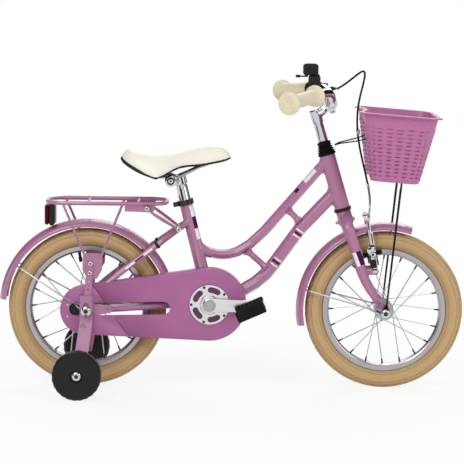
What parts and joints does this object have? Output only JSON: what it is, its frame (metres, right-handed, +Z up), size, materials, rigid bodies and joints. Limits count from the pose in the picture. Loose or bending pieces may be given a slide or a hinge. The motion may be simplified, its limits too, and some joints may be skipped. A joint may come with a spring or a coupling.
{
  "type": "kids bike",
  "caption": "Small children's step-through bike with a front basket, rear rack, full mudguards, chaincase, coaster hub, front hand brake and training wheels.",
  "frame": {"origin": "on the ground, under the middle of the bike's length and width", "axes": "+X forward, +Y to the rider's left, +Z up"},
  "size_m": [1.023, 0.5198, 0.71],
  "materials": {
    "pink_paint": "semi-gloss paint",
    "pink_plastic": "satin moulded plastic",
    "cream_rubber": "soft matte rubber",
    "cream_vinyl": "vinyl cover over foam",
    "tan_rubber": "matte rubber",
    "black_plastic": "matte plastic",
    "black_tyre": "matte plastic tread",
    "black_metal": "black paint",
    "black_rubber": "rubber and plastic sheath",
    "chrome": "bright plating",
    "aluminium": "satin",
    "zinc_steel": "zinc plating",
    "red_lens": "clear red"
  },
  "bodies": {
    "root": {"frame": "pink_paint", "head_lower_cup": "black_plastic", "seat_clamp": "black_metal", "chaincase_front": "pink_plastic", "chaincase_rear": "pink_plastic", "chain": "zinc_steel", "rear_axle": "zinc_steel", "coaster_arm": "zinc_steel", "training_bracket_right": "pink_paint", "training_bracket_left": "pink_paint", "rear_guard": "pink_paint", "rear_guard_stay": "zinc_steel", "rack": "pink_paint", "rack_strut_right": "pink_paint", "rack_strut_left": "pink_paint", "rack_stay_right": "pink_paint", "rack_stay_left": "pink_paint", "rear_light_housing": "black_plastic", "rear_light_lens": "red_lens"},
    "steering": {"fork": "pink_paint", "head_cap": "black_plastic", "stem": "chrome", "handlebar": "chrome", "grip_right": "cream_rubber", "grip_left": "cream_rubber", "lever_perch": "black_plastic", "brake_cable": "black_rubber", "brake_noodle": "zinc_steel", "bell": "black_plastic", "front_axle": "zinc_steel", "front_guard": "pink_paint", "front_guard_stay": "zinc_steel", "basket": "pink_plastic", "basket_stay": "black_metal", "basket_bracket": "black_metal"},
    "brake_lever": {"brake_lever": "black_plastic"},
    "brake_arm_right": {"brake_arm_right": "chrome", "brake_pad_right": "black_rubber"},
    "brake_arm_left": {"brake_arm_left": "chrome", "brake_pad_left": "black_rubber"},
    "bell_lever": {"bell_lever": "black_plastic"},
    "front_wheel": {"front_tyre": "tan_rubber", "front_rim": "aluminium", "front_hub": "zinc_steel"},
    "rear_wheel": {"rear_tyre": "tan_rubber", "rear_rim": "aluminium", "rear_hub": "zinc_steel"},
    "sprocket": {"rear_sprocket": "zinc_steel"},
    "crank": {"chainring": "aluminium", "crank_right": "aluminium", "crank_left": "aluminium"},
    "pedal_right": {"pedal_right": "black_plastic"},
    "pedal_left": {"pedal_left": "black_plastic"},
    "training_wheel_right": {"training_wheel_right": "black_tyre"},
    "training_wheel_left": {"training_wheel_left": "black_tyre"},
    "seatpost": {"seatpost": "chrome", "saddle_clamp": "zinc_steel"},
    "saddle": {"saddle_rails": "zinc_steel", "saddle_base": "black_plastic", "saddle_cushion": "cream_vinyl"}
  },
  "joints": [
    {"name": "steering_turn", "type": "hinge", "parent": "root", "child": "steering", "pos_m": [0.24168, 0, 0.3994], "axis": [-0.2865, 0, 0.9581], "range_deg": [-60, 60]},
    {"name": "front_wheel_spin", "type": "hinge", "parent": "steering", "child": "front_wheel", "pos_m": [0.33748, 0, 0.174], "axis": [0, 1, 0], "continuous": true},
    {"name": "rear_wheel_spin", "type": "hinge", "parent": "root", "child": "rear_wheel", "pos_m": [-0.31752, 0, 0.174], "axis": [0, 1, 0], "continuous": true},
    {"name": "sprocket_spin", "type": "hinge", "parent": "root", "child": "sprocket", "pos_m": [-0.31752, 0, 0.174], "axis": [0, 1, 0], "continuous": true},
    {"name": "crank_spin", "type": "hinge", "parent": "root", "child": "crank", "pos_m": [-0.04802, 0, 0.189], "axis": [0, 1, 0], "continuous": true},
    {"name": "pedal_right_spin", "type": "hinge", "parent": "crank", "child": "pedal_right", "pos_m": [0.04088, 0, 0.189], "axis": [0, 1, 0], "continuous": true},
    {"name": "pedal_left_spin", "type": "hinge", "parent": "crank", "child": "pedal_left", "pos_m": [-0.13692, 0, 0.189], "axis": [0, 1, 0], "continuous": true},
    {"name": "training_wheel_right_spin", "type": "hinge", "parent": "root", "child": "training_wheel_right", "pos_m": [-0.33002, -0.1925, 0.053], "axis": [0, 1, 0], "continuous": true},
    {"name": "training_wheel_left_spin", "type": "hinge", "parent": "root", "child": "training_wheel_left", "pos_m": [-0.33002, 0.1925, 0.053], "axis": [0, 1, 0], "continuous": true},
    {"name": "seatpost_slide", "type": "slide", "parent": "root", "child": "seatpost", "axis": [-0.2453, 0, 0.9694], "range_m": [-0.02, 0.06]},
    {"name": "saddle_tilt", "type": "hinge", "parent": "seatpost", "child": "saddle", "pos_m": [-0.13592, 0, 0.456], "axis": [0, 1, 0], "range_deg": [-12, 12]},
    {"name": "brake_lever_pull", "type": "hinge", "parent": "steering", "child": "brake_lever", "pos_m": [0.20648, 0.13619, 0.6623], "axis": [0, 0, 1], "range_deg": [0, 17], "stiffness_Nm_per_rad": 0.6, "springref_deg": -8.59},
    {"name": "brake_arm_right_close", "type": "hinge", "parent": "steering", "child": "brake_arm_right", "pos_m": [0.31448, -0.04, 0.2627], "axis": [-0.9871, 0, -0.1599], "range_deg": [0, 3]},
    {"name": "brake_arm_left_close", "type": "hinge", "parent": "steering", "child": "brake_arm_left", "pos_m": [0.31448, 0.04, 0.2627], "axis": [0.9871, 0, 0.1599], "range_deg": [0, 3]},
    {"name": "bell_lever_push", "type": "hinge", "parent": "steering", "child": "bell_lever", "pos_m": [0.16198, 0.112, 0.6837], "axis": [0, 0, 1], "range_deg": [0, 20], "stiffness_Nm_per_rad": 0.05, "springref_deg": -5.73}
  ],
  "couplings": [
    {"joint": "sprocket_spin", "follows": "crank_spin", "ratio": 1.75},
    {"joint": "brake_arm_right_close", "follows": "brake_lever_pull", "ratio": 0.17647},
    {"joint": "brake_arm_left_close", "follows": "brake_lever_pull", "ratio": 0.17647}
  ]
}
